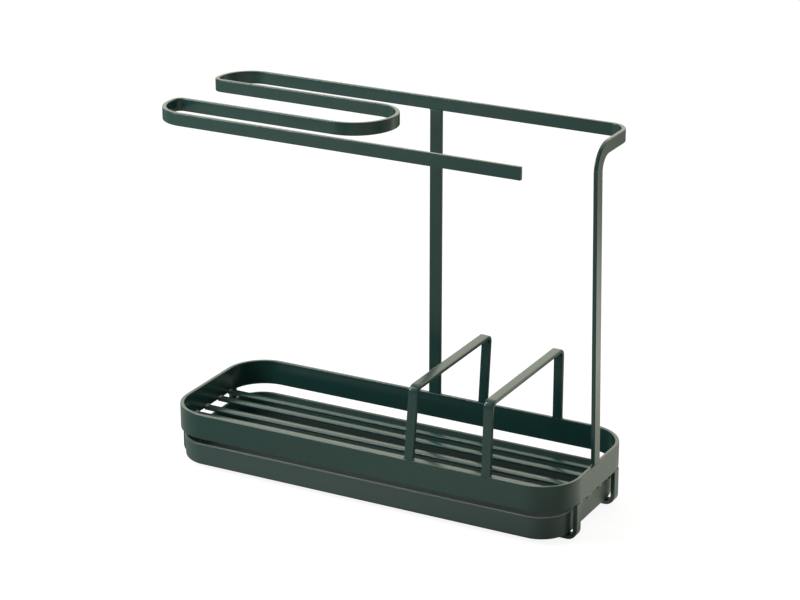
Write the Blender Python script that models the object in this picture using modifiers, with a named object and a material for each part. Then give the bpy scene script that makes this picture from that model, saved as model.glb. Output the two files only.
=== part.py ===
"""Sponge holder for the side of a sink: a basket of flat steel bar with a slatted floor, two divider
hoops, a bent hanger for dish cloths above it, and a drip tray that slides out underneath.
Metres, +Z up, +X along the basket, -Y toward the user, Z zero on the counter."""

import math

import bmesh
import bpy
from mathutils import Matrix, Quaternion, Vector

mm = 0.001

# Clearances
weld_gap = 0.3 * mm
tray_side_play = 0.5 * mm

# Flat bar stock
bar_width = 7.45 * mm
bar_thick = 2.4 * mm
thin_bar_width = 5.7 * mm
bar_edge_radius = 0.4 * mm
slat_thick = 2.0 * mm
slat_edge_radius = 0.35 * mm

# Basket band
band_length = 255.0 * mm
band_depth = 95.0 * mm
band_height = 15.1 * mm
band_thick = 2.3 * mm
band_corner_radius = 24.3 * mm

# Hooks that carry the tray and stand on the counter
hook_thick = 2.5 * mm
hook_outer_radius = 6.0 * mm
hook_flat_length = 8.0 * mm
hook_half_spacing = 25.7 * mm
hook_shift_back = 0.5 * mm

# Drip tray
tray_height = 13.6 * mm
tray_inset = 3.3 * mm
tray_shift_left = 0.7 * mm
tray_wall = 1.8 * mm
tray_corner_radius = 18.5 * mm
tray_floor_radius = 2.2 * mm
tray_rim_radius = 0.6 * mm
tray_draft = math.radians(1.5)
tray_below_band = 5.0 * mm

# Slats
slat_top_above_band_foot = 1.1 * mm
slat_inner_offset = 7.6 * mm
slat_outer_offset = 19.3 * mm
slat_shift_back = 2.4 * mm
slat_drop_bend_radius = 1.0 * mm
slat_drop_above_tray = 0.5 * mm

# Divider hoops
hoop_height = 44.1 * mm
hoop_outer_radius = 5.0 * mm
hoop_leg_splay = 0.0233
left_hoop_x = 33.15 * mm
left_hoop_lean = 0.0565
right_hoop_x = 80.95 * mm
right_hoop_lean = 0.0121

# Hanger
rail_top_z = 217.65 * mm
rail_pitch_narrow = 26.4 * mm
rail_pitch_wide = 42.85 * mm
rear_turn_reach = 131.05 * mm
front_turn_reach = 128.75 * mm
right_turn_reach = 0.85 * mm
right_turn_front_radius = 26.0 * mm
tight_turn_radius = 6.0 * mm
front_turn_radius = 19.0 * mm
rear_turn_radius = 21.0 * mm
front_rail_end_x = 100.35 * mm
corner_outer_radius = 11.8 * mm
arm_outer_x = 121.35 * mm
arm_bend_radius = 12.0 * mm
post_top_y = 4.6 * mm
post_foot_y = -2.2 * mm
centre_post_x = 1.55 * mm

# Smoothness of the bends
degrees_per_step = 10.0
edge_segments = 2
tray_corner_segments = 8
tray_floor_segments = 4

# Levels that follow from the values above
tray_floor_z = hook_thick + weld_gap
tray_rim_z = tray_floor_z + tray_height
band_foot_z = tray_rim_z + tray_below_band
band_top_z = band_foot_z + band_height
slat_top_z = band_foot_z + slat_top_above_band_foot
foot_z = band_top_z + weld_gap
rail_middle_z = rail_top_z - bar_width / 2

# Rails, from the wall side to the user's side
rear_rail_y = band_depth / 2 - bar_thick / 2
second_rail_y = rear_rail_y - rail_pitch_narrow
third_rail_y = second_rail_y - rail_pitch_wide
front_rail_y = third_rail_y - rail_pitch_narrow

# The part's origin lies under the middle of its box
left_reach = rear_turn_reach
right_reach = band_length / 2
front_reach = -front_rail_y + bar_thick / 2
rear_reach = band_depth / 2
origin_x = (right_reach - left_reach) / 2
origin_y = (rear_reach - front_reach) / 2

x_axis = Vector((1, 0, 0))
y_axis = Vector((0, 1, 0))
z_axis = Vector((0, 0, 1))


def clear_scene():
    for thing in list(bpy.data.objects):
        bpy.data.objects.remove(thing)


def paint(name, colour, roughness, metallic):
    material = bpy.data.materials.new(name)
    material.use_nodes = True
    shader = material.node_tree.nodes["Principled BSDF"]
    shader.inputs["Base Color"].default_value = (*colour, 1)
    shader.inputs["Roughness"].default_value = roughness
    shader.inputs["Metallic"].default_value = metallic
    return material


class Strip:
    """The middle surface of a flat bar, laid down run by run and bend by bend, as a bender forms it."""

    def __init__(self, middle, across, ahead, width):
        self.mesh = bmesh.new()
        half = Vector(across).normalized() * width / 2
        sides = [self.mesh.verts.new(Vector(middle) + half), self.mesh.verts.new(Vector(middle) - half)]
        self.first = self.tip = self.mesh.edges.new(sides)
        self.ahead = Vector(ahead).normalized()

    def middle(self):
        return (self.tip.verts[0].co + self.tip.verts[1].co) / 2

    def lengthen(self):
        made = bmesh.ops.extrude_edge_only(self.mesh, edges=[self.tip])["geom"]
        ends = [item for item in made if isinstance(item, bmesh.types.BMVert)]
        self.tip = self.mesh.edges.get(ends)
        return ends

    def run(self, length):
        bmesh.ops.translate(self.mesh, verts=self.lengthen(), vec=self.ahead * length)

    def bend(self, toward, radius, angle):
        """Turns toward a side, with the radius measured to the bar's middle."""
        side = (toward - self.ahead * toward.dot(self.ahead)).normalized()
        centre = self.middle() + side * radius
        axis = self.ahead.cross(side)
        steps = max(1, round(math.degrees(angle) / degrees_per_step))
        turn = Matrix.Rotation(angle / steps, 3, axis)
        for _ in range(steps):
            bmesh.ops.rotate(self.mesh, verts=self.lengthen(), cent=centre, matrix=turn)
        self.ahead.rotate(Quaternion(axis, angle))

    def finish(self, name, thickness, edge_radius, material, parts, root):
        """Gives the surface the bar's thickness and soft edges."""
        bmesh.ops.remove_doubles(self.mesh, verts=self.mesh.verts, dist=weld_gap / 10)
        data = bpy.data.meshes.new(name)
        self.mesh.to_mesh(data)
        self.mesh.free()
        bar = add_object(name, data, material, parts, root)
        add_thickness(bar, thickness, 0)
        soften_edges(bar, edge_radius)
        return bar


def add_object(name, data, material, parts, root):
    thing = bpy.data.objects.new(name, data)
    parts.objects.link(thing)
    thing.parent = root
    data.materials.append(material)
    data.shade_smooth()
    data.set_sharp_from_angle(angle=math.radians(35))
    return thing


def add_thickness(thing, thickness, offset):
    solidify = thing.modifiers.new("thickness", "SOLIDIFY")
    solidify.thickness = thickness
    solidify.offset = offset
    solidify.use_even_offset = True


def soften_edges(thing, radius):
    bevel = thing.modifiers.new("soft edges", "BEVEL")
    bevel.width = radius
    bevel.segments = edge_segments
    bevel.limit_method = "ANGLE"
    bevel.angle_limit = math.radians(60)


# The basket's band is one closed loop of wide bar.
def make_band(steel, parts, root):
    radius = band_corner_radius - band_thick / 2
    long_run = band_length - 2 * band_corner_radius
    short_run = band_depth - 2 * band_corner_radius
    start = Vector((-long_run / 2, -band_depth / 2 + band_thick / 2, band_foot_z + band_height / 2))
    band = Strip(start, z_axis, x_axis, band_height)
    sides = ((long_run, y_axis), (short_run, -x_axis), (long_run, -y_axis), (short_run, x_axis))
    for length, toward in sides:
        band.run(length)
        band.bend(toward, radius, math.pi / 2)
    return band.finish("basket_band", band_thick, bar_edge_radius, steel, parts, root)


# Each slat butts against the inside of the band's lower edge at the left and turns down at the right.
def make_slat(name, y, steel, parts, root):
    drop_radius = slat_drop_bend_radius + slat_thick / 2
    face_x = band_length / 2 - band_thick - weld_gap
    level_run = 2 * face_x - slat_thick / 2 - drop_radius
    drop_foot = tray_rim_z + slat_drop_above_tray
    slat = Strip((-face_x, y, slat_top_z - slat_thick / 2), y_axis, x_axis, thin_bar_width)
    slat.run(level_run)
    slat.bend(-z_axis, drop_radius, math.pi / 2)
    slat.run(slat.middle().z - drop_foot)
    return slat.finish(name, slat_thick, slat_edge_radius, steel, parts, root)


# A divider is a hoop over the basket, its feet on the band's front and rear top edges.
def make_hoop(name, x, lean, steel, parts, root):
    middle_radius = hoop_outer_radius - bar_thick / 2
    splay = math.atan(hoop_leg_splay)
    corner = math.pi / 2 - splay
    foot_y = band_depth / 2 - bar_thick / 2
    corner_rise = middle_radius * math.cos(splay)
    leg = (hoop_height - bar_thick / 2 - middle_radius - middle_radius * math.sin(splay)) / math.cos(splay)
    across_top = 2 * (foot_y - leg * math.sin(splay) - corner_rise)
    hoop = Strip((0, -foot_y, 0), x_axis, (0, math.sin(splay), math.cos(splay)), thin_bar_width)
    hoop.run(leg)
    hoop.bend(y_axis, middle_radius, corner)
    hoop.run(across_top)
    hoop.bend(-z_axis, middle_radius, corner)
    hoop.run(leg)
    bar = hoop.finish(name, bar_thick, bar_edge_radius, steel, parts, root)
    bar.location = (x, 0, foot_z + thin_bar_width / 2 * math.sin(math.atan(lean)))
    bar.rotation_euler = (0, math.atan(lean), 0)
    return bar


# The hanger is one bar: four rails joined by three turns, a corner, a short arm and the right post.
# Each turn at the left is a wide bend and a tight one, and the right turn is two bends of unlike radius.
def make_hanger(steel, parts, root):
    half_thick = bar_thick / 2
    third_rail_radius = right_turn_front_radius - half_thick
    second_rail_radius = rail_pitch_wide - third_rail_radius
    corner_radius = corner_outer_radius - half_thick
    tight_radius = tight_turn_radius - half_thick
    front_radius = front_turn_radius - half_thick
    rear_radius = rear_turn_radius - half_thick
    right_turn_x = -right_turn_reach - half_thick
    arm_x = arm_outer_x - half_thick
    bend_centre_y = post_top_y + arm_bend_radius
    post_top_z = rail_middle_z - arm_bend_radius
    post_foot_x = band_length / 2 - half_thick
    lean_back = math.atan2(post_top_y - post_foot_y, post_top_z - foot_z)
    lean_in = math.atan2(post_foot_x - arm_x, post_top_z - foot_z)

    bar = Strip((front_rail_end_x, front_rail_y, rail_middle_z), z_axis, -x_axis, bar_width)
    bar.run(front_rail_end_x + front_turn_reach - front_turn_radius)
    bar.bend(y_axis, front_radius, math.pi / 2)
    bar.run(rail_pitch_narrow - front_radius - tight_radius)
    bar.bend(x_axis, tight_radius, math.pi / 2)
    bar.run(right_turn_x - third_rail_radius + front_turn_reach - tight_turn_radius)
    bar.bend(y_axis, third_rail_radius, math.pi / 2)
    bar.bend(-x_axis, second_rail_radius, math.pi / 2)
    bar.run(right_turn_x - second_rail_radius + rear_turn_reach - tight_turn_radius)
    bar.bend(y_axis, tight_radius, math.pi / 2)
    bar.run(rail_pitch_narrow - rear_radius - tight_radius)
    bar.bend(x_axis, rear_radius, math.pi / 2)
    bar.run(arm_x - corner_radius + rear_turn_reach - rear_turn_radius)
    bar.bend(-y_axis, corner_radius, math.pi / 2)
    bar.run(rear_rail_y - corner_radius - bend_centre_y)
    bar.bend(-z_axis, arm_bend_radius, math.pi / 2 - lean_back)
    bar.bend(x_axis, arm_bend_radius, lean_in)
    foot_lift = bar_width / 2 * math.sin(lean_back) + half_thick * math.sin(lean_in)
    bar.run((bar.middle().z - foot_z - foot_lift) / -bar.ahead.z)
    return bar.finish("hanger_bar", bar_thick, bar_edge_radius, steel, parts, root)


# The centre post stands on the band's rear wall and carries the rear rail.
def make_centre_post(steel, parts, root):
    post = Strip((centre_post_x, rear_rail_y, foot_z), x_axis, z_axis, bar_width)
    post.run(rail_top_z - bar_width - weld_gap - foot_z)
    return post.finish("centre_post", bar_thick, bar_edge_radius, steel, parts, root)


# A tray hook hangs from the band's end and turns in under the tray.
def make_hook(name, side, y, steel, parts, root):
    middle_radius = hook_outer_radius - hook_thick / 2
    top_z = band_foot_z - weld_gap
    start_x = side * (band_length / 2 - hook_thick / 2)
    hook = Strip((start_x, y, top_z), y_axis, -z_axis, thin_bar_width)
    hook.run(top_z - hook_outer_radius)
    hook.bend(-side * x_axis, middle_radius, math.pi / 2)
    hook.run(hook_flat_length)
    return hook.finish(name, hook_thick, bar_edge_radius, steel, parts, root)


def is_upright(edge):
    line = edge.verts[0].co - edge.verts[1].co
    return abs(line.z) > line.xy.length


# The tray is a shallow pan with drafted walls, round corners and a radius all round its floor.
def make_tray(plastic, parts, root):
    length = band_length - 2 * (hook_thick + tray_side_play) - 2 * tray_shift_left
    depth = band_depth - 2 * tray_inset
    narrowing = tray_height * math.tan(tray_draft)
    mesh = bmesh.new()
    bmesh.ops.create_cube(mesh, size=1)
    bmesh.ops.scale(mesh, vec=(length, depth, tray_height), verts=mesh.verts)
    bmesh.ops.translate(mesh, vec=z_axis * tray_height / 2, verts=mesh.verts)
    floor = [vertex for vertex in mesh.verts if vertex.co.z < tray_height / 2]
    inward = (1 - 2 * narrowing / length, 1 - 2 * narrowing / depth, 1)
    bmesh.ops.scale(mesh, vec=inward, verts=floor)
    lid = [face for face in mesh.faces if face.normal.z > face.normal.xy.length]
    bmesh.ops.delete(mesh, geom=lid, context="FACES_ONLY")
    uprights = [edge for edge in mesh.edges if is_upright(edge)]
    round_off(mesh, uprights, tray_corner_radius, tray_corner_segments)
    around_floor = [edge for edge in mesh.edges if all(vertex.co.z < weld_gap for vertex in edge.verts)]
    round_off(mesh, around_floor, tray_floor_radius, tray_floor_segments)
    data = bpy.data.meshes.new("drip_tray")
    mesh.to_mesh(data)
    mesh.free()
    tray = add_object("drip_tray", data, plastic, parts, root)
    tray.location = (-tray_shift_left, 0, tray_floor_z)
    add_thickness(tray, tray_wall, -1)
    soften_edges(tray, tray_rim_radius)
    return tray


def round_off(mesh, edges, radius, segments):
    bmesh.ops.bevel(
        mesh,
        geom=edges,
        offset=radius,
        offset_type="OFFSET",
        segments=segments,
        profile=0.5,
        affect="EDGES",
        clamp_overlap=True,
    )


def main():
    clear_scene()
    parts = bpy.data.collections.new("sponge_holder")
    bpy.context.scene.collection.children.link(parts)
    root = bpy.data.objects.new("frame_origin", None)
    root.location = (-origin_x, -origin_y, 0)
    parts.objects.link(root)

    steel = paint("green powder coat", (0.030, 0.058, 0.050), 0.42, 0.0)
    plastic = paint("green tray plastic", (0.036, 0.056, 0.053), 0.50, 0.0)

    make_band(steel, parts, root)
    slat_offsets = (-slat_outer_offset, -slat_inner_offset, slat_inner_offset, slat_outer_offset)
    for number, offset in enumerate(slat_offsets, start=1):
        make_slat(f"slat_{number}", slat_shift_back + offset, steel, parts, root)
    make_hoop("divider_hoop_left", left_hoop_x, left_hoop_lean, steel, parts, root)
    make_hoop("divider_hoop_right", right_hoop_x, right_hoop_lean, steel, parts, root)
    make_centre_post(steel, parts, root)
    make_hanger(steel, parts, root)
    for side, side_name in ((-1, "left"), (1, "right")):
        for way, way_name in ((-1, "front"), (1, "rear")):
            y = hook_shift_back + way * hook_half_spacing
            make_hook(f"tray_hook_{way_name}_{side_name}", side, y, steel, parts, root)
    make_tray(plastic, parts, root)


main()
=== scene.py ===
import math

import bmesh
import bpy
from mathutils import Matrix, Quaternion, Vector


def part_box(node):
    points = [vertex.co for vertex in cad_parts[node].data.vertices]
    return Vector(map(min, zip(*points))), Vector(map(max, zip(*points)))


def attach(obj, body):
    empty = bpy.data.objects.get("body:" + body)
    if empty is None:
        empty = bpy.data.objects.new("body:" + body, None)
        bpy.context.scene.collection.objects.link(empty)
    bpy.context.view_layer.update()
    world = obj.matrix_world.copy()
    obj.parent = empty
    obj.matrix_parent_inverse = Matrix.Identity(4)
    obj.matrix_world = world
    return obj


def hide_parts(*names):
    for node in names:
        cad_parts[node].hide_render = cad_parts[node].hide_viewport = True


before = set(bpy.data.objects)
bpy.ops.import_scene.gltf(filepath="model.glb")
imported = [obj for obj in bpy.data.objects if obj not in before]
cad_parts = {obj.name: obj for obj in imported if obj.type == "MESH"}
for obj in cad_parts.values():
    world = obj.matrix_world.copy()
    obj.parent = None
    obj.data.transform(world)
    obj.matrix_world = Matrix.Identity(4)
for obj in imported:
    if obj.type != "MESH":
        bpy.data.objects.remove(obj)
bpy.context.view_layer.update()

mm = 0.001
quarterTurn = math.pi / 2
xAxis, yAxis, zAxis = Vector((1, 0, 0)), Vector((0, 1, 0)), Vector((0, 0, 1))

bandLow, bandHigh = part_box("basket_band")
halfLength, halfDepth = (bandHigh.x - bandLow.x) / 2, (bandHigh.y - bandLow.y) / 2
# under the centre of the basket
middle = Vector(((bandLow.x + bandHigh.x) / 2, (bandLow.y + bandHigh.y) / 2, 0))
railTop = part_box("hanger_bar")[1].z
weldGap = 0.3 * mm  # the gap that stands in for a weld in the CAD
sink = 0.05 * mm  # how far a welded end sits in what carries it


def linkObject(name, data):
    thing = bpy.data.objects.new(name, data)
    bpy.context.scene.collection.objects.link(thing)
    return thing


def linkMesh(name, mesh):
    data = bpy.data.meshes.new(name)
    mesh.to_mesh(data)
    mesh.free()
    return linkObject(name, data)


# Camera, at the photograph's viewing angle
view = dict(
    place=(0.648235, -1.206545, 0.62301),
    azimuth=28.0522,
    elevation=20.5271,
    lens=116.42,
    sensorWidth=36,
    nearest=0.05,
    farthest=50,
)


def placeCamera():
    data = bpy.data.cameras.new("photoCamera")
    data.lens, data.sensor_width = view["lens"], view["sensorWidth"]
    data.clip_start, data.clip_end = view["nearest"], view["farthest"]
    camera = linkObject("photoCamera", data)
    camera.location = view["place"]
    camera.rotation_euler = (math.radians(90 - view["elevation"]), 0, math.radians(view["azimuth"]))
    bpy.context.scene.camera = camera


placeCamera()
print("camera placed")


# Node maths, so that a finish or a section reads as a sum
class Term:
    def __init__(self, build, socket):
        self.build, self.socket = build, socket

    def maths(self, operation, first, second):
        made = self.build.node("ShaderNodeMath", {"operation": operation}, {0: first, 1: second})
        return Term(self.build, made.outputs[0])

    def __add__(self, other): return self.maths("ADD", self, other)
    def __radd__(self, other): return self.maths("ADD", other, self)
    def __sub__(self, other): return self.maths("SUBTRACT", self, other)
    def __rsub__(self, other): return self.maths("SUBTRACT", other, self)
    def __mul__(self, other): return self.maths("MULTIPLY", self, other)
    def __rmul__(self, other): return self.maths("MULTIPLY", other, self)
    def __truediv__(self, other): return self.maths("DIVIDE", self, other)
    def __rtruediv__(self, other): return self.maths("DIVIDE", other, self)
    def __neg__(self): return self.maths("MULTIPLY", self, -1)


# Makes and links the nodes of one tree, of a finish or of geometry
class Nodes:
    def __init__(self, tree):
        self.tree = tree

    def node(self, kind, settings=None, values=None):
        made = self.tree.nodes.new(kind)
        for name, setting in (settings or {}).items():
            setattr(made, name, setting)
        return self.fill(made, values or {})

    def fill(self, made, values):
        for key, value in values.items():
            if isinstance(value, Term):
                value = value.socket
            if isinstance(value, bpy.types.NodeSocket):
                self.tree.links.new(value, made.inputs[key])
            else:
                made.inputs[key].default_value = value
        return made

    def term(self, node, output=0):
        return Term(self, node.outputs[output])

    def parts(self, vector):
        made = self.node("ShaderNodeSeparateXYZ", {}, {0: vector})
        return [Term(self, number) for number in made.outputs]

    def attribute(self, label):
        made = self.node("GeometryNodeInputNamedAttribute", {"data_type": "FLOAT_VECTOR"}, {
            "Name": label})
        return made.outputs["Attribute"]

    def softStep(self, value, low, high):
        return self.term(self.node("ShaderNodeMapRange", {"interpolation_type": "SMOOTHSTEP"}, {
            0: value, 1: low, 2: high}))

    def softBand(self, value, start, end):
        return self.softStep(value, *start) * (1 - self.softStep(value, *end))

    def noise(self, place, scale, detail, roughness):
        return self.term(self.node("ShaderNodeTexNoise", {}, {
            "Vector": place, "Scale": scale, "Detail": detail, "Roughness": roughness}))

    def blend(self, share, first, second):
        first, second = (end if isinstance(end, bpy.types.NodeSocket) else (*end, 1)
                         for end in (first, second))
        made = self.node("ShaderNodeMix", {"data_type": "RGBA"}, {0: share, 6: first, 7: second})
        return made.outputs[2]


# Finishes
steelFinish = dict(
    colour=(0.0100, 0.0420, 0.0385),
    darker=(0.0070, 0.0350, 0.0325),
    olive=(0.0140, 0.0385, 0.0335),
    roughness=0.21,
    grainSize=0.75 * mm,
    speckSize=0.16 * mm,
    waveSize=9 * mm,
    grainDepth=0.007 * mm,
)
trayFinish = dict(
    colour=(0.0350, 0.0640, 0.0620),
    darker=(0.0290, 0.0550, 0.0540),
    olive=(0.0410, 0.0605, 0.0560),
    roughness=0.42,
    grainSize=0.42 * mm,
    speckSize=0.12 * mm,
    waveSize=24 * mm,
    grainDepth=0.010 * mm,
    # painted shade: the tray's floor gets this darker colour for the shade under the slats
    insideShadeColour=(0.0150, 0.0290, 0.0280),
    insideRougher=0.35,
    insideFacing=(0.5, 0.9),  # how far up a face looks, from the first trace to the full effect
    insideHeight=(10 * mm, 13 * mm),  # where the effect fades out
)
coatPattern = dict(
    # detail and roughness of each noise
    grain=(3, 0.55), speck=(2, 0.6), wave=(4, 0.5), cloud=(2, 0.5),
    noiseMiddle=0.5,
    cloudScale=0.3,  # as a share of the waves' scale
    darkerGain=0.9, darkerLess=0.1,  # the waves bring in the darker tone
    oliveGain=1.3, oliveFrom=0.42,  # the clouds bring in the olive tone
    speckShine=0.16, waveShine=0.10,  # how far they shift the roughness
    speckRelief=0.35,  # the specks' height beside the grain's
    refraction=1.5,
)


def makeCoat(name, finish):
    material = bpy.data.materials.new(name)
    material.use_nodes = True
    shader = material.node_tree.nodes["Principled BSDF"]
    build = Nodes(material.node_tree)
    pattern, mid = coatPattern, coatPattern["noiseMiddle"]
    place = build.node("ShaderNodeTexCoord").outputs["Object"]
    grain = build.noise(place, 1 / finish["grainSize"], *pattern["grain"])
    speck = build.noise(place, 1 / finish["speckSize"], *pattern["speck"])
    wave = build.noise(place, 1 / finish["waveSize"], *pattern["wave"])
    cloud = build.noise(place, pattern["cloudScale"] / finish["waveSize"], *pattern["cloud"])

    dark = wave * pattern["darkerGain"] - pattern["darkerLess"]
    tone = build.blend(dark, finish["colour"], finish["darker"])
    tone = build.blend((cloud - pattern["oliveFrom"]) * pattern["oliveGain"], tone, finish["olive"])
    shine = finish["roughness"] + (speck - mid) * pattern["speckShine"]
    shine = shine + (wave - mid) * pattern["waveShine"]
    if "insideShadeColour" in finish:
        # painted shade: the floor of a tray is painted darker than its walls, for the shade that
        # falls there under the slats, and it is also duller
        facing = build.parts(build.node("ShaderNodeNewGeometry").outputs["Normal"])[2]
        height = build.parts(place)[2]
        inside = build.softStep(facing, *finish["insideFacing"])
        inside = inside * (1 - build.softStep(height, *finish["insideHeight"]))
        tone = build.blend(inside, tone, finish["insideShadeColour"])
        shine = shine + inside * finish["insideRougher"]
    bump = build.node("ShaderNodeBump", {}, {
        "Strength": 1.0, "Distance": finish["grainDepth"],
        "Height": grain + speck * pattern["speckRelief"]})
    build.fill(shader, {
        "Base Color": tone, "Roughness": shine, "Normal": bump.outputs["Normal"],
        "IOR": pattern["refraction"]})
    return material


steelCoat = makeCoat("greenPowderCoat", steelFinish)
trayPlastic = makeCoat("greenTrayPlastic", trayFinish)
print("finishes made")


# Geometry node trees
def newTree(name, inputs):
    tree = bpy.data.node_groups.new(name, "GeometryNodeTree")
    for label, kind in {"Geometry": "Geometry", **inputs}.items():
        tree.interface.new_socket(label, in_out="INPUT", socket_type="NodeSocket" + kind)
    tree.interface.new_socket("Geometry", in_out="OUTPUT", socket_type="NodeSocketGeometry")
    return tree


def closeTree(build, geometry, material):
    real = build.node("GeometryNodeRealizeInstances", {}, {"Geometry": geometry})
    coated = build.node("GeometryNodeSetMaterial", {}, {
        "Geometry": real.outputs[0], "Material": material})
    build.node("NodeGroupOutput", {}, {0: coated.outputs[0]})


# A flat bar swept along its middle line. The line carries the direction of the bar's flat face.
def makeBarTree():
    tree = newTree("flatBar", {
        "Width": "Float",
        "Thickness": "Float",
        "Edge Radius": "Float",
        "Edge Steps": "Int",
        "Crown": "Float",
        "Side Cuts": "Int",
        "Material": "Material",
    })
    build = Nodes(tree)
    given = build.node("NodeGroupInput")
    width, thickness = build.term(given, "Width"), build.term(given, "Thickness")
    line = build.node("GeometryNodeMeshToCurve", {}, {"Mesh": given.outputs["Geometry"]})
    held = build.node("GeometryNodeSetCurveNormal", {"mode": "FREE"}, {
        "Curve": line.outputs[0], "Normal": build.attribute("flatSide")})
    section = build.node("GeometryNodeCurvePrimitiveQuadrilateral", {"mode": "RECTANGLE"}, {
        "Width": thickness, "Height": width})
    rounded = build.node("GeometryNodeFilletCurve", {"mode": "POLY"}, {
        "Curve": section.outputs[0],
        "Count": given.outputs["Edge Steps"],
        "Radius": given.outputs["Edge Radius"],
    })
    cut = build.node("GeometryNodeSubdivideCurve", {}, {
        "Curve": rounded.outputs[0], "Cuts": given.outputs["Side Cuts"]})

    # the crown thins the section toward its narrow sides
    outward, across, _ = build.parts(build.node("GeometryNodeInputPosition").outputs[0])
    reach = across / (width * 0.5)
    thinning = reach * reach * build.term(given, "Crown")
    shift = build.node("ShaderNodeCombineXYZ", {}, {0: thinning * (outward / (thickness * -0.5))})
    crowned = build.node("GeometryNodeSetPosition", {}, {
        "Geometry": cut.outputs[0], "Offset": shift.outputs[0]})
    bar = build.node("GeometryNodeCurveToMesh", {}, {
        "Curve": held.outputs[0], "Profile Curve": crowned.outputs[0], "Fill Caps": True})
    closeTree(build, bar.outputs[0], given.outputs["Material"])
    return tree


# Copies of a finished piece, one on each point. The points carry each copy's turn and stretch.
def makeCopiesTree():
    tree = newTree("copiesOnPoints", {"Piece": "Object", "Material": "Material"})
    build = Nodes(tree)
    given = build.node("NodeGroupInput")
    piece = build.node("GeometryNodeObjectInfo", {}, {"Object": given.outputs["Piece"]})
    spin = build.node("FunctionNodeEulerToRotation", {}, {0: build.attribute("turn")})
    copies = build.node("GeometryNodeInstanceOnPoints", {}, {
        "Points": given.outputs["Geometry"],
        "Instance": piece.outputs["Geometry"],
        "Rotation": spin.outputs[0],
        "Scale": build.attribute("stretch"),
    })
    closeTree(build, copies.outputs[0], given.outputs["Material"])
    return tree


barTree = makeBarTree()
copiesTree = makeCopiesTree()


def keepPlain(name, source, tree, values):
    # runs the tree on the source and keeps the result as a plain mesh
    modifier = source.modifiers.new("build", "NODES")
    modifier.node_group = tree
    keys = {item.name: item.identifier for item in tree.interface.items_tree
            if item.in_out == "INPUT"}
    for label, value in values.items():
        modifier[keys[label]] = value
    bpy.context.view_layer.update()
    ready = source.evaluated_get(bpy.context.evaluated_depsgraph_get())
    data = bpy.data.meshes.new_from_object(ready)
    data.name = name
    source.modifiers.remove(modifier)
    bpy.data.objects.remove(source)
    return linkObject(name, data)


def writeVectors(data, label, rows):
    # one row of three numbers for each point
    held = data.attributes.new(label, "FLOAT_VECTOR", "POINT")
    held.data.foreach_set("vector", [number for row in rows for number in row])


# The middle line of a flat bar, laid down run by run and bend by bend
class BarLine:
    stepAngle = 3.0  # degrees of a bend from one point to the next

    def __init__(self, start, ahead, flatSide):
        self.points, self.sides = [Vector(start)], [Vector(flatSide).normalized()]
        self.ahead = Vector(ahead).normalized()

    def run(self, length):
        self.points.append(self.points[-1] + self.ahead * length)
        self.sides.append(self.sides[-1].copy())
        return self

    def bend(self, toward, radius, angle):
        side = (toward - self.ahead * toward.dot(self.ahead)).normalized()
        centre = self.points[-1] + side * radius
        axis = self.ahead.cross(side)
        steps = max(1, round(math.degrees(angle) / self.stepAngle))
        turn = Quaternion(axis, angle / steps)
        for _ in range(steps):
            self.points.append(centre + turn @ (self.points[-1] - centre))
            self.sides.append(turn @ self.sides[-1])
        self.ahead = Quaternion(axis, angle) @ self.ahead
        return self

    def move(self, matrix):
        self.points = [matrix @ point for point in self.points]
        self.sides = [matrix.to_3x3() @ side for side in self.sides]

    def mesh(self, name, closed):
        count = len(self.points) - (1 if closed else 0)  # a closed line ends on its first point
        links = [(i, i + 1) for i in range(count - 1)]
        if closed:
            links.append((count - 1, 0))
        data = bpy.data.meshes.new(name)
        data.from_pydata(self.points[:count], links, [])
        writeVectors(data, "flatSide", self.sides[:count])
        return data


# What all the bars share
barDetail = dict(
    edgeSteps=5,
    crownCuts=3,
    mergeReach=0.002 * mm,  # points nearer than this become one
    endAngle=60,  # degrees from which an edge belongs to a cut end
    endShare=0.75,  # a cut end's radius as a share of the edge radius
    endSteps=3,
)
shading = dict(
    sharpAngle=40,  # degrees from which an edge looks sharp
    flatWeight=60,  # how strongly large faces keep their own direction
)


def roundOff(mesh, edges, radius, steps, clamp=False):
    bmesh.ops.bevel(mesh, geom=edges, offset=radius, offset_type="OFFSET", segments=steps,
                    profile=0.5, affect="EDGES", clamp_overlap=clamp)


def finishShading(piece):
    # flat faces stay flat in their shading
    piece.data.shade_smooth()
    piece.data.set_sharp_from_angle(angle=math.radians(shading["sharpAngle"]))
    even = piece.modifiers.new("even shading", "WEIGHTED_NORMAL")
    even.mode, even.weight, even.keep_sharp = "FACE_AREA", shading["flatWeight"], True


def softenEnds(piece, radius):
    # merges the sweep's doubles and gives the two cut ends soft edges
    mesh = bmesh.new()
    mesh.from_mesh(piece.data)
    bmesh.ops.remove_doubles(mesh, verts=mesh.verts, dist=barDetail["mergeReach"])
    bmesh.ops.recalc_face_normals(mesh, faces=mesh.faces)
    steep = math.radians(barDetail["endAngle"])
    ends = [edge for edge in mesh.edges if edge.is_manifold and edge.calc_face_angle(0) > steep]
    if ends:
        roundOff(mesh, ends, radius, barDetail["endSteps"])
    mesh.to_mesh(piece.data)
    mesh.free()


def sweepBar(name, line, shape, closed=False):
    crown = shape.get("crown", 0.0)
    piece = keepPlain(name, linkObject(name + "Line", line.mesh(name + "Line", closed)), barTree, {
        "Width": shape["width"],
        "Thickness": shape["thickness"],
        "Edge Radius": shape["edgeRadius"],
        "Edge Steps": barDetail["edgeSteps"],
        "Crown": crown,
        "Side Cuts": barDetail["crownCuts"] if crown else 0,
        "Material": steelCoat,
    })
    softenEnds(piece, shape["edgeRadius"] * barDetail["endShare"])
    return piece


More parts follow.
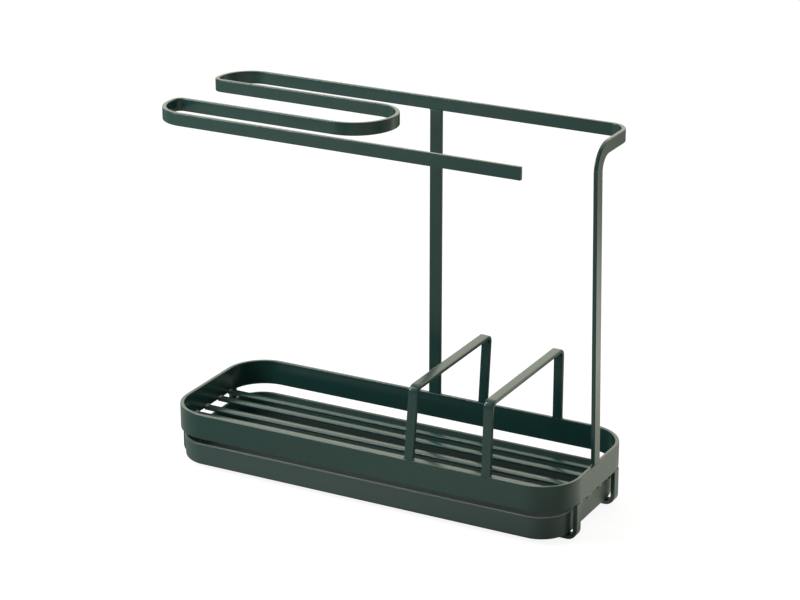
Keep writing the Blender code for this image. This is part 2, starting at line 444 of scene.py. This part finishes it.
def copyOnPoints(name, piece, places, turns=None, stretches=None):
    # every copy of the piece in one plain mesh
    spots = bpy.data.meshes.new(name + "Spots")
    spots.from_pydata(places, [], [])
    writeVectors(spots, "turn", turns or [(0, 0, 0)] * len(places))
    writeVectors(spots, "stretch", stretches or [(1, 1, 1)] * len(places))
    cloud = linkObject(name + "Spots", spots)
    copies = keepPlain(name, cloud, copiesTree, {"Piece": piece, "Material": steelCoat})
    bpy.data.objects.remove(piece)
    return copies


def finishPiece(piece, body, slotName, *nodes):
    finishShading(piece)
    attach(piece, body)
    if nodes:
        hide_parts(*nodes)


# Basket band
bandShape = dict(thickness=2.3 * mm, cornerRadius=24.3 * mm, edgeRadius=0.5 * mm)


def makeBand():
    half, corner = bandShape["thickness"] / 2, bandShape["cornerRadius"]
    height = bandHigh.z - bandLow.z
    longRun, shortRun = 2 * (halfLength - corner), 2 * (halfDepth - corner)
    start = middle + Vector((-longRun / 2, half - halfDepth, bandLow.z + height / 2))
    line = BarLine(start, xAxis, yAxis)
    for run, toward in ((longRun, yAxis), (shortRun, -xAxis), (longRun, -yAxis), (shortRun, xAxis)):
        line.run(run).bend(toward, corner - half, quarterTurn)
    band = sweepBar("basketBand", line, dict(bandShape, width=height), closed=True)
    finishPiece(band, "frame", "steel_green", "basket_band")


makeBand()
print("basket band made")


# Floor slats
slatShape = dict(
    width=5.7 * mm, thickness=2.0 * mm, edgeRadius=0.35 * mm, crown=0.31 * mm,
    dropRadius=1.0 * mm,
)
slatNodes = [f"slat_{number}" for number in range(1, 5)]


def makeSlats():
    low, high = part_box("slat_1")
    half = slatShape["thickness"] / 2
    radius = slatShape["dropRadius"] + half
    startX = low.x - weldGap - sink
    line = BarLine((startX, 0, high.z - half), xAxis, zAxis)
    line.run(high.x - half - radius - startX).bend(-zAxis, radius, quarterTurn)
    line.run(line.points[-1].z - low.z)
    places = [(0, sum(corner.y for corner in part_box(node)) / 2, 0) for node in slatNodes]
    slats = copyOnPoints("floorSlats", sweepBar("slat", line, slatShape), places)
    finishPiece(slats, "frame", "steel_green", *slatNodes)


makeSlats()
print("floor slats made")


# Divider hoops. Splay is the legs' slope toward each other, and lean is the hoop's slope rightward.
hoopShape = dict(
    width=5.7 * mm, thickness=2.4 * mm, edgeRadius=0.5 * mm, crown=0.05 * mm,
    height=44.1 * mm, cornerRadius=5.0 * mm, splay=0.0233,
)
hoops = (
    dict(name="dividerHoopLeft", node="divider_hoop_left", x=33.15 * mm, lean=0.0565),
    dict(name="dividerHoopRight", node="divider_hoop_right", x=80.95 * mm, lean=0.0121),
)


def makeHoop(hoop):
    shape = hoopShape
    half = shape["thickness"] / 2
    radius = shape["cornerRadius"] - half
    splay, lean = math.atan(shape["splay"]), math.atan(hoop["lean"])
    inward, upward = math.sin(splay), math.cos(splay)
    footY = halfDepth - half - sink / 2
    buried = weldGap + sink
    leg = (shape["height"] - half - radius - radius * inward) / upward
    across = 2 * (footY - leg * inward - radius * upward)
    ahead = Vector((0, inward, upward))
    line = BarLine(Vector((0, -footY, 0)) - ahead * buried, ahead, (0, upward, -inward))
    line.run(leg + buried).bend(yAxis, radius, quarterTurn - splay).run(across)
    line.bend(-zAxis, radius, quarterTurn - splay).run(leg + buried)
    footZ = bandHigh.z + weldGap + shape["width"] / 2 * math.sin(lean)
    foot = middle + Vector((hoop["x"], 0, footZ))
    line.move(Matrix.Translation(foot) @ Matrix.Rotation(lean, 4, "Y"))
    finishPiece(sweepBar(hoop["name"], line, shape), "frame", "steel_green", hoop["node"])


for hoop in hoops:
    makeHoop(hoop)
print("divider hoops made")


# Cloth hanger, one bar bent into four rails, a corner, a short arm and the right post
hangerShape = dict(
    width=7.45 * mm, thickness=2.4 * mm, edgeRadius=0.5 * mm,
    # from rail to rail, narrow in the front and rear pairs and wide between them
    narrowPitch=26.4 * mm, widePitch=42.85 * mm,
    # how far the turns and the front rail's end lie from the centre of the basket
    rearReach=131.05 * mm, frontReach=128.75 * mm, rightReach=0.85 * mm, frontEndX=100.35 * mm,
    # outer radii of the turns
    tightRadius=6.0 * mm, frontRadius=19.0 * mm, rearRadius=21.0 * mm, rightFrontRadius=26.0 * mm,
    # corner, arm and post
    cornerRadius=11.8 * mm, armX=121.35 * mm,
    armBendRadius=12.0 * mm, postTopY=4.6 * mm, postFootY=-2.2 * mm,
)


def makeHanger():
    shape = hangerShape
    half = shape["thickness"] / 2
    tight, front = shape["tightRadius"] - half, shape["frontRadius"] - half
    rear, corner = shape["rearRadius"] - half, shape["cornerRadius"] - half
    thirdTurn = shape["rightFrontRadius"] - half
    secondTurn = shape["widePitch"] - thirdTurn
    bend = shape["armBendRadius"]
    railZ = railTop - shape["width"] / 2
    rearY = halfDepth - half
    frontY = rearY - 2 * shape["narrowPitch"] - shape["widePitch"]
    rightX, armX = -shape["rightReach"] - half, shape["armX"] - half
    footX = halfLength - half - sink / 2
    drop = railZ - bend - (bandHigh.z + weldGap)
    leanBack = math.atan2(shape["postTopY"] - shape["postFootY"], drop)
    leanIn = math.atan2(footX - armX, drop)

    # counted from the rear: fourth rail, third, second and first, then the arm and the post
    line = BarLine((shape["frontEndX"], frontY, railZ), -xAxis, yAxis)
    line.run(shape["frontEndX"] + shape["frontReach"] - shape["frontRadius"])
    line.bend(yAxis, front, quarterTurn).run(shape["narrowPitch"] - front - tight)
    line.bend(xAxis, tight, quarterTurn)
    line.run(rightX - thirdTurn + shape["frontReach"] - shape["tightRadius"])
    line.bend(yAxis, thirdTurn, quarterTurn).bend(-xAxis, secondTurn, quarterTurn)
    line.run(rightX - secondTurn + shape["rearReach"] - shape["tightRadius"])
    line.bend(yAxis, tight, quarterTurn).run(shape["narrowPitch"] - rear - tight)
    line.bend(xAxis, rear, quarterTurn)
    line.run(armX - corner + shape["rearReach"] - shape["rearRadius"])
    line.bend(-yAxis, corner, quarterTurn).run(rearY - corner - shape["postTopY"] - bend)
    line.bend(-zAxis, bend, quarterTurn - leanBack).bend(xAxis, bend, leanIn)
    line.run((line.points[-1].z - bandHigh.z + sink) / -line.ahead.z)
    line.move(Matrix.Translation(middle))
    finishPiece(sweepBar("clothHanger", line, shape), "frame", "steel_green", "hanger_bar")


# Centre post, from the rear of the band to the underside of the rear rail
def makeCentrePost():
    low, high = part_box("centre_post")
    centre = (low + high) / 2
    edgeRadius = hangerShape["edgeRadius"]
    shape = dict(width=high.x - low.x, thickness=high.y - low.y, edgeRadius=edgeRadius)
    line = BarLine((centre.x, centre.y, bandHigh.z - sink), zAxis, yAxis)
    line.run(railTop - hangerShape["width"] + sink - line.points[0].z)
    finishPiece(sweepBar("centrePost", line, shape), "frame", "steel_green", "centre_post")


makeHanger()
makeCentrePost()
print("cloth hanger and centre post made")


# Hooks that carry the tray
hookShape = dict(
    width=5.7 * mm, thickness=2.5 * mm, edgeRadius=0.4 * mm,
    outerRadius=6.0 * mm, flatLength=8.0 * mm,
)


def makeHooks():
    half, radius = hookShape["thickness"] / 2, hookShape["outerRadius"]
    topZ = bandLow.z + sink
    line = BarLine((-half, 0, topZ), -zAxis, xAxis)
    line.run(topZ - radius).bend(-xAxis, radius - half, quarterTurn).run(hookShape["flatLength"])
    nodes = [f"tray_hook_{way}_{side}" for way in ("front", "rear") for side in ("left", "right")]
    places, turns = [], []
    for node in nodes:
        low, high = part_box(node)
        left = node.endswith("left")
        places.append((low.x if left else high.x, (low.y + high.y) / 2, 0))
        turns.append((0, 0, math.pi if left else 0))
    hooks = copyOnPoints("trayHooks", sweepBar("hook", line, hookShape), places, turns)
    finishPiece(hooks, "frame", "steel_green", *nodes)


makeHooks()
print("tray hooks made")


# Weld beads, small fillets in the corners where one bar stands on another
weldShape = dict(
    size=0.8 * mm, slatSize=1.1 * mm,
    length=0.85, slatLength=0.9,  # shares of the bar's thickness and of the slat's width
    hollow=0.5,  # from 0, flat, to 1, a full arc
    buried=0.1, endSize=0.3,  # shares of the size
    endPower=5, ripple=0.07, ripples=5, steps=14, arcSteps=5,
)


def makeBead():
    # a fillet of unit size along X, in the corner between the faces along Y and Z
    shape = weldShape
    hollow, buried = shape["hollow"], -shape["buried"]
    outline = [(buried, buried), (1, buried)]
    for step in range(shape["arcSteps"] + 1):
        share = step / shape["arcSteps"]
        onArc = 1 - math.sin(quarterTurn * share), 1 - math.cos(quarterTurn * share)
        onChord = 1 - share, share
        outline.append([arc * hollow + chord * (1 - hollow) for arc, chord in zip(onArc, onChord)])
    outline.append((buried, 1))
    mesh = bmesh.new()
    rings = []
    for step in range(shape["steps"] + 1):
        along = step / shape["steps"] - 0.5
        swell = max(shape["endSize"], math.sqrt(1 - abs(2 * along) ** shape["endPower"]))
        swell *= 1 + shape["ripple"] * math.sin(2 * math.pi * shape["ripples"] * along)
        rings.append([mesh.verts.new((along, y * swell, z * swell)) for y, z in outline])
    for near, far in zip(rings, rings[1:]):
        for i in range(len(outline)):
            j = (i + 1) % len(outline)
            mesh.faces.new((near[i], near[j], far[j], far[i]))
    mesh.faces.new(rings[0])
    mesh.faces.new(rings[-1])
    bmesh.ops.recalc_face_normals(mesh, faces=mesh.faces)
    return linkMesh("bead", mesh)


def listWelds():
    # for each weld its corner, the two ways it spreads from there, its length and its size
    size, slatSize = weldShape["size"], weldShape["slatSize"]
    thick = hangerShape["thickness"]
    length, slatLength = thick * weldShape["length"], slatShape["width"] * weldShape["slatLength"]
    frontY, rearY = middle.y - halfDepth + thick / 2, middle.y + halfDepth - thick / 2
    endX = halfLength - thick / 2
    welds = []
    for sign in (-1, 1):
        for hoop in hoops:
            x = middle.x + hoop["x"] + sign * hoopShape["width"] / 2
            for y in (frontY, rearY):
                welds.append(((x, y, bandHigh.z), sign * xAxis, zAxis, length, size))
        low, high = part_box("centre_post")
        x = (low.x + high.x) / 2 + sign * (high.x - low.x) / 2
        railFoot = railTop - hangerShape["width"]
        welds.append(((x, rearY, bandHigh.z), sign * xAxis, zAxis, length, size))
        welds.append(((x, rearY, railFoot), sign * xAxis, -zAxis, length, size))
        y = middle.y + hangerShape["postFootY"] + sign * hangerShape["width"] / 2
        welds.append(((middle.x + endX, y, bandHigh.z), sign * yAxis, zAxis, length, size))
        for way in ("front", "rear"):
            for side, end in (("left", -1), ("right", 1)):
                low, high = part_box(f"tray_hook_{way}_{side}")
                y = (low.y + high.y) / 2 + sign * hookShape["width"] / 2
                place = (middle.x + end * endX, y, bandLow.z)
                welds.append((place, sign * yAxis, -zAxis, length, size))
        for node in slatNodes:
            low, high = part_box(node)
            x = middle.x + sign * (halfLength - bandShape["thickness"])
            z = high.z if sign < 0 else high.z - slatSize
            place = (x, (low.y + high.y) / 2, z)
            welds.append((place, -sign * xAxis, zAxis, slatLength, slatSize))
    return welds


def makeWelds():
    places, turns, stretches = [], [], []
    for corner, out, wall, length, size in listWelds():
        places.append(corner)
        turns.append(Matrix((out.cross(wall), out, wall)).transposed().to_euler())
        stretches.append((length, size, size))
    beads = copyOnPoints("weldBeads", makeBead(), places, turns, stretches)
    finishPiece(beads, "frame", "steel_green")


makeWelds()
print("weld beads made")


# Drip tray
trayShape = dict(
    wall=1.8 * mm, cornerRadius=18.5 * mm, floorRadius=2.2 * mm, rimRadius=0.6 * mm,
    draft=1.5, rimAngle=60,  # degrees
    cornerSteps=24, floorSteps=6, rimSteps=4,
)


def makeTray():
    shape = trayShape
    low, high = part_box("drip_tray")
    size, base = high - low, Vector(((low.x + high.x) / 2, (low.y + high.y) / 2, low.z))
    narrowing = size.z * math.tan(math.radians(shape["draft"]))
    mesh = bmesh.new()
    bmesh.ops.create_cube(mesh, size=1)
    bmesh.ops.scale(mesh, vec=size, verts=mesh.verts)
    bmesh.ops.translate(mesh, vec=zAxis * size.z / 2, verts=mesh.verts)
    floor = [vertex for vertex in mesh.verts if vertex.co.z < size.z / 2]
    narrower = (1 - 2 * narrowing / size.x, 1 - 2 * narrowing / size.y, 1)
    bmesh.ops.scale(mesh, vec=narrower, verts=floor)
    lid = [face for face in mesh.faces
           if all(vertex.co.z > size.z / 2 for vertex in face.verts)]
    bmesh.ops.delete(mesh, geom=lid, context="FACES_ONLY")
    uprights = [edge for edge in mesh.edges
                if abs((edge.verts[0].co - edge.verts[1].co).z) > size.z / 2]
    roundOff(mesh, uprights, shape["cornerRadius"], shape["cornerSteps"], clamp=True)
    around = [edge for edge in mesh.edges
              if all(vertex.co.z < size.z / 2 for vertex in edge.verts)]
    roundOff(mesh, around, shape["floorRadius"], shape["floorSteps"], clamp=True)
    bmesh.ops.translate(mesh, vec=base, verts=mesh.verts)
    tray = linkMesh("dripTray", mesh)
    tray.data.materials.append(trayPlastic)
    wall = tray.modifiers.new("wall", "SOLIDIFY")
    wall.thickness, wall.offset, wall.use_even_offset = shape["wall"], -1, True
    rim = tray.modifiers.new("rim", "BEVEL")
    rim.width, rim.segments = shape["rimRadius"], shape["rimSteps"]
    rim.limit_method, rim.angle_limit = "ANGLE", math.radians(shape["rimAngle"])
    finishPiece(tray, "tray", "tray_green", "drip_tray")


makeTray()
print("drip tray made")


# Floor. The camera sees it pale, and the bars mirror it dark with brighter areas.
floorLook = dict(
    radius=6.0, sides=64, colour=0.18, glow=0.90,
    mirroredColour=0.18, mirroredTint=(1.0, 0.99, 0.82), mirroredGlow=0.03,
    # each brighter area's glow, and its soft edges in metres
    frontGlow=0.20, frontSlope=0.25, frontStart=(0.0, 0.08),
    frontRightGlow=0.25, frontRightStart=(-0.15, 0.05), frontRightEnd=(0.08, 0.16),
    frontRightNear=(-0.40, -0.20),
    sideGlow=0.26, sideStart=(0.11, 0.18),
    leftGlow=0.40, leftStart=(0.20, 0.32), leftNear=(0.40, 0.54),
    stripSlope=0.5, stripStart=(0.06, 0.12), stripEnd=(0.17, 0.30),
    nearGlow=0.66, nearStart=(-0.06, 0.03),
    farGlow=1.24, farStart=(0.08, 0.28), farEnd=(0.38, 0.60),
)


def grey(level):
    return (level, level, level, 1)


def byCamera(build, mirrored, seen):
    # the camera gets one shader and everything else the other
    path = build.node("ShaderNodeLightPath")
    mixed = build.node("ShaderNodeMixShader", {}, {
        0: path.outputs["Is Camera Ray"], 1: mirrored.outputs[0], 2: seen.outputs[0]})
    return mixed.outputs[0]


def makeFloor():
    look = floorLook
    mesh = bmesh.new()
    bmesh.ops.create_circle(mesh, cap_ends=True, segments=look["sides"], radius=look["radius"])
    floor = linkMesh("studioFloor", mesh)
    material = bpy.data.materials.new("studioFloor")
    material.use_nodes = True
    material.node_tree.nodes.clear()
    build = Nodes(material.node_tree)
    across, deep, _ = build.parts(build.node("ShaderNodeTexCoord").outputs["Object"])
    front = build.softStep(across * -look["frontSlope"] - deep, *look["frontStart"])
    frontRight = build.softBand(across, look["frontRightStart"], look["frontRightEnd"])
    frontRight = frontRight * front * build.softStep(deep, *look["frontRightNear"])
    side = build.softStep(across, *look["sideStart"])
    left = build.softStep(-across, *look["leftStart"]) * build.softStep(-deep, *look["leftNear"])
    strip = build.softBand(across - deep * look["stripSlope"], look["stripStart"], look["stripEnd"])
    near = build.softStep(deep, *look["nearStart"])
    far = build.softBand(deep, look["farStart"], look["farEnd"])
    share = strip * (near * look["nearGlow"] + far * look["farGlow"])
    share = share + front * look["frontGlow"] + frontRight * look["frontRightGlow"]
    share = share + side * look["sideGlow"] + left * look["leftGlow"] + look["mirroredGlow"]
    dull = build.node("ShaderNodeBsdfDiffuse", {}, {"Color": grey(look["mirroredColour"])})
    warm = build.node("ShaderNodeEmission", {}, {
        "Color": (*look["mirroredTint"], 1), "Strength": share})
    mirrored = build.node("ShaderNodeAddShader", {}, {0: dull.outputs[0], 1: warm.outputs[0]})
    lit = build.node("ShaderNodeBsdfDiffuse", {}, {"Color": grey(look["colour"])})
    glow = build.node("ShaderNodeEmission", {}, {"Color": grey(1), "Strength": look["glow"]})
    seen = build.node("ShaderNodeAddShader", {}, {0: lit.outputs[0], 1: glow.outputs[0]})
    build.node("ShaderNodeOutputMaterial", {}, {"Surface": byCamera(build, mirrored, seen)})
    floor.data.materials.append(material)


# Backdrop. The camera sees it white, and the bars mirror a sky that is bright behind the holder.
skyLook = dict(
    front=0.24, behind=1.86, frontTint=(0.95, 1.0, 0.93), behindTint=(1.0, 0.99, 0.82),
    behindSlope=0.3, behindEdge=(-0.35, 0.75),
    topDarker=0.75, topEdge=(0.48, 0.75),
)


def makeWorld():
    look = skyLook
    world = bpy.data.worlds.new("studioWorld")
    world.use_nodes = True
    world.node_tree.nodes.clear()
    build = Nodes(world.node_tree)
    across, deep, high = build.parts(build.node("ShaderNodeTexCoord").outputs["Generated"])
    behind = build.softStep(deep - across * look["behindSlope"], *look["behindEdge"])
    dimmed = 1 - build.softStep(high, *look["topEdge"]) * look["topDarker"]
    level = behind * dimmed * (look["behind"] - look["front"]) + look["front"]
    tint = build.blend(behind, look["frontTint"], look["behindTint"])
    mirrored = build.node("ShaderNodeBackground", {}, {"Color": tint, "Strength": level})
    seen = build.node("ShaderNodeBackground", {}, {"Color": grey(1), "Strength": 1.0})
    build.node("ShaderNodeOutputWorld", {}, {"Surface": byCamera(build, mirrored, seen)})
    bpy.context.scene.world = world


# Lamps
lampAimHeight = 0.1
lamps = (
    dict(name="leftLamp", place=(-0.45, -0.40, 0.46), size=0.36, power=4.2, tint=(0.94, 1, 0.98)),
    dict(name="glintLamp", place=(-0.35, -0.31, 0.80), size=0.09, power=0.8, tint=(1, 1, 0.97)),
    dict(name="overheadLamp", place=(-0.25, 0.55, 1.25), size=1.1, power=2.7, tint=(1, 1, 0.90)),
)


def makeLamps():
    aim = middle + zAxis * lampAimHeight
    for lamp in lamps:
        data = bpy.data.lights.new(lamp["name"], "AREA")
        data.shape, data.size = "DISK", lamp["size"]
        data.energy, data.color = lamp["power"], lamp["tint"]
        light = linkObject(lamp["name"], data)
        light.location = lamp["place"]
        light.rotation_euler = (aim - light.location).to_track_quat("-Z", "Y").to_euler()


makeFloor()
makeWorld()
makeLamps()
bpy.context.scene.view_settings.view_transform = "Standard"
print("studio made")
